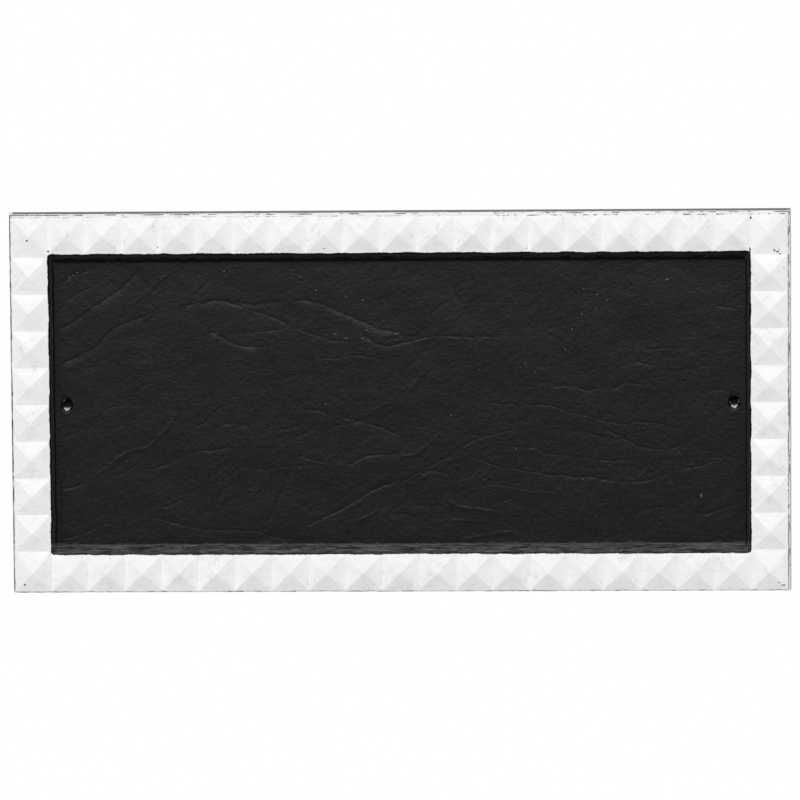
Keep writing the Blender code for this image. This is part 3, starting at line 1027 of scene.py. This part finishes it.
def black_colour(graph, at, shade_and_gloss):
    """Black with bright specks and painted highlights, a painted highlight in each countersink, a painted
    sheen in grey streaks on the bottom wall, and a painted shade at the foot of the top wall.
    """
    tone = graph.noise(graph.stretched(at.spot, 2.0, 1.0, 1.0), 9.0, 4.0, 0.6)
    colour = graph.blend(graph.ramp(tone, 0.35, 0.65), *map(grey, BLACK_TONES))

    # Bright specks and scratches, some of them painted highlights on the creases
    bright = graph.most([graph.blob(at.spot, at.ragged, *bright_spot) for bright_spot in SPECKS_AND_HIGHLIGHTS])
    bright = bright * graph.ramp(at.depth, FIELD_DEPTH + 2.0, FIELD_DEPTH + 1.5)
    colour = graph.blend(bright * SPECK_AND_HIGHLIGHT_SHARE, colour, grey(SPECK_AND_HIGHLIGHT_TONE))

    # Painted highlight: light grey on the lower, upward-facing half of each countersink
    seat_highlights = [graph.blob(at.spot, at.ragged, side * SCREW_X, *SEAT_HIGHLIGHT) for side in (-1, 1)]
    in_hole = graph.ramp(at.depth, FIELD_DEPTH + 0.5, FIELD_DEPTH + 0.9)
    colour = graph.blend(graph.most(seat_highlights) * in_hole, colour, grey(SEAT_HIGHLIGHT_TONE))

    # Painted sheen: light grey streaks on the upward-facing wall at the bottom of the field
    streaks = graph.noise(graph.stretched(at.spot, 10.0, 1.0, 0.45), 1.0, 4.0, 0.7)
    near_bottom = graph.ramp(at.z, FIELD_BOTTOM + 1.2, FIELD_BOTTOM + 0.4)
    above_field = graph.ramp(at.depth, FIELD_DEPTH - 0.1, FIELD_DEPTH - 0.5)
    painted_sheen = graph.ramp(streaks, 0.46, 0.60) * (near_bottom * above_field)
    colour = graph.blend(painted_sheen, colour, grey(BOTTOM_SHEEN_TONE))
    # Painted shade: a deeper black at the foot of the top wall
    return graph.blend(shade_and_gloss, colour, grey(TOP_FOOT_SHADE_TONE))


def enamel():
    """Black enamel with the border overpainted in white, worn along its edges."""
    material, graph, shader = new_material("enamel")
    at = Spots(graph)

    white = painted_white(graph, at) * (1.0 - graph.most(worn_lines(graph, at) + chips(graph, at)))
    # Band at the foot of the top wall: a painted shade in the colour, and smoother in roughness
    shade_and_gloss = top_foot_shade_and_gloss(graph, at)
    colour = graph.blend(white, black_colour(graph, at, shade_and_gloss), white_colour(graph, at))
    graph.put(shader.inputs["Base Color"], colour)

    grain = graph.noise(at.spot, 0.9, 3.0, 0.6)
    black_rough = graph.ramp(grain, 0.3, 0.7, *BLACK_ROUGHNESS) - shade_and_gloss * TOP_FOOT_SMOOTHING
    white_rough = graph.ramp(grain, 0.3, 0.7, *WHITE_ROUGHNESS)
    graph.put(shader.inputs["Roughness"], white * white_rough + (1.0 - white) * black_rough)
    shader.inputs["Specular IOR Level"].default_value = SPECULAR_LEVEL
    shader.inputs["Metallic"].default_value = 0.0

    # Grain, dents and brush streaks, weaker in the white
    streaks = graph.noise(graph.stretched(at.spot, 3.2, 1.0, 0.8), 1.1, 4.0, 0.65)
    dents = graph.noise(graph.stretched(at.spot, 1.15, 1.0, 1.0), 2.2, 3.0, 0.6)
    height = (streaks * 0.3 + grain * 0.2 + dents * 0.9) * (1.0 - white * 0.72)
    bump = graph.node("ShaderNodeBump", {"Height": height, "Strength": 1.0, "Distance": BUMP_DISTANCE})
    graph.put(shader.inputs["Normal"], bump.outputs[0])
    return material


casting = plaque_casting()
casting.data.materials.append(enamel())
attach(casting, "root")
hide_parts("plaque")

# Stage, in metres: height and half width of the square floor, and where the dark cards stand that are a
# painted shade seen through the screw holes
FLOOR_Z = -1.6
FLOOR_HALF_WIDTH = 2.0
FLOOR_TONE = 0.6
FLOOR_GLOW = 0.85
GLOW_SHARE = 0.7
# Painted shade: the dark of the cards behind the bores
SHADE_CARD_TONE = 0.01
CARD_Y = -0.0005
CARD_CLEARANCE = 0.05
STAGE_ROUGHNESS = 0.8


def plain_material(name, tone):
    material, _, shader = new_material(name)
    shader.inputs["Base Color"].default_value = grey(tone)
    shader.inputs["Roughness"].default_value = STAGE_ROUGHNESS
    return material


def floor_paint():
    """Pale to the camera though little light reaches the floor."""
    material = plain_material("floor_paint", FLOOR_TONE)
    tree = material.node_tree
    graph = Graph(tree)
    glow = graph.node("ShaderNodeEmission", {"Color": grey(1), "Strength": FLOOR_GLOW})
    plain = tree.nodes["Principled BSDF"].outputs[0]
    mixed = graph.seen_by_camera(plain, glow.outputs[0], GLOW_SHARE)
    graph.put(tree.nodes["Material Output"].inputs["Surface"], mixed)
    return material


def floor():
    mesh = bpy.data.meshes.new("floor")
    corners = [(side_x * FLOOR_HALF_WIDTH, side_y * FLOOR_HALF_WIDTH, FLOOR_Z)
               for side_x, side_y in ((-1, -1), (1, -1), (1, 1), (-1, 1))]
    mesh.from_pydata(corners, [], [(0, 1, 2, 3)])
    mesh.materials.append(floor_paint())
    placed("floor", mesh)


def shade_card(name, centre_x):
    """Small dark card behind a screw hole, a painted shade seen through its bore, so that the bright
    backdrop doesn't show through it.
    """
    bm = bmesh.new()
    turn = Matrix.Rotation(math.pi / 2, 4, "X")
    at = Matrix.Translation((centre_x * MM, CARD_Y, 0))
    radius = (HOLE_RINGS[-1][0] - CARD_CLEARANCE) * MM
    bmesh.ops.create_circle(bm, cap_ends=True, segments=HOLE_STEPS, radius=radius, matrix=at @ turn)
    mesh = bpy.data.meshes.new(name)
    bm.to_mesh(mesh)
    bm.free()
    mesh.materials.append(plain_material(name, SHADE_CARD_TONE))
    placed(name, mesh)


floor()
shade_card("left_shade_card", -SCREW_X)
shade_card("right_shade_card", SCREW_X)

# Lights: name, azimuth and elevation from the plaque in degrees, distance, width, height and
# watts, and the strength of the even light from all round
LIGHTS = [
    ("overhead", 0, 60, 2.6, 2.2, 1.1, 34.0),
    ("front", 0, 24, 1.9, 1.8, 0.4, 16.5),
    ("left_fill", -60, -24, 1.8, 0.7, 1.2, 12.2),
    ("right_fill", 60, -24, 1.8, 0.7, 1.2, 8.9),
    ("right_side", 98, 8, 1.8, 0.7, 1.2, 5.5),
    ("behind", 180, 35, 1.9, 1.6, 0.8, 10.0),
]
AMBIENT = 0.12


def toward(azimuth, elevation):
    """Direction from the plaque; azimuth 0 is in front of it and positive to the right."""
    azimuth = math.radians(azimuth)
    elevation = math.radians(elevation)
    return Vector((math.sin(azimuth) * math.cos(elevation),
                   -math.cos(azimuth) * math.cos(elevation), math.sin(elevation)))


def lights():
    """Area lights, each facing the middle of the plaque."""
    for name, azimuth, elevation, distance, width, height, watts in LIGHTS:
        data = bpy.data.lights.new(name, "AREA")
        data.shape = "RECTANGLE"
        data.size = width
        data.size_y = height
        data.energy = watts
        thing = placed(name, data)
        direction = toward(azimuth, elevation)
        thing.location = direction * distance
        thing.rotation_euler = direction.to_track_quat("Z", "Y").to_euler()


def backdrop():
    """White to the camera and a soft grey to everything else."""
    world = bpy.data.worlds.new("studio")
    world.use_nodes = True
    bpy.context.scene.world = world
    tree = world.node_tree
    graph = Graph(tree)
    tree.nodes.clear()
    seen = graph.node("ShaderNodeBackground", {"Color": grey(1), "Strength": 1.0})
    unseen = graph.node("ShaderNodeBackground", {"Color": grey(1), "Strength": AMBIENT})
    output = graph.node("ShaderNodeOutputWorld")
    graph.put(output.inputs["Surface"], graph.seen_by_camera(unseen.outputs[0], seen.outputs[0]))


# Camera: angles in degrees, distance in metres, lens and film in millimetres, and its aim
CAMERA_AZIMUTH = 2.2
CAMERA_ELEVATION = 5.177
CAMERA_ROLL = -0.435
CAMERA_DISTANCE = 2.875
CAMERA_LENS = 250.98
CAMERA_FILM = 36
CAMERA_REACH = 50
AIM = Vector((0.00033, FACE_Y * MM, 0.00192))


def camera():
    """Camera at the photo's angle, rolled as the photo is."""
    data = bpy.data.cameras.new("camera")
    data.lens = CAMERA_LENS
    data.sensor_width = CAMERA_FILM
    data.clip_end = CAMERA_REACH
    thing = placed("camera", data)
    direction = toward(CAMERA_AZIMUTH, CAMERA_ELEVATION)
    turn = direction.to_track_quat("Z", "Y").to_matrix().to_4x4()
    roll = Matrix.Rotation(math.radians(CAMERA_ROLL), 4, "Z")
    thing.matrix_world = Matrix.Translation(AIM + direction * CAMERA_DISTANCE) @ turn @ roll
    bpy.context.scene.camera = thing


lights()
backdrop()
camera()
bpy.context.scene.view_settings.view_transform = "Standard"
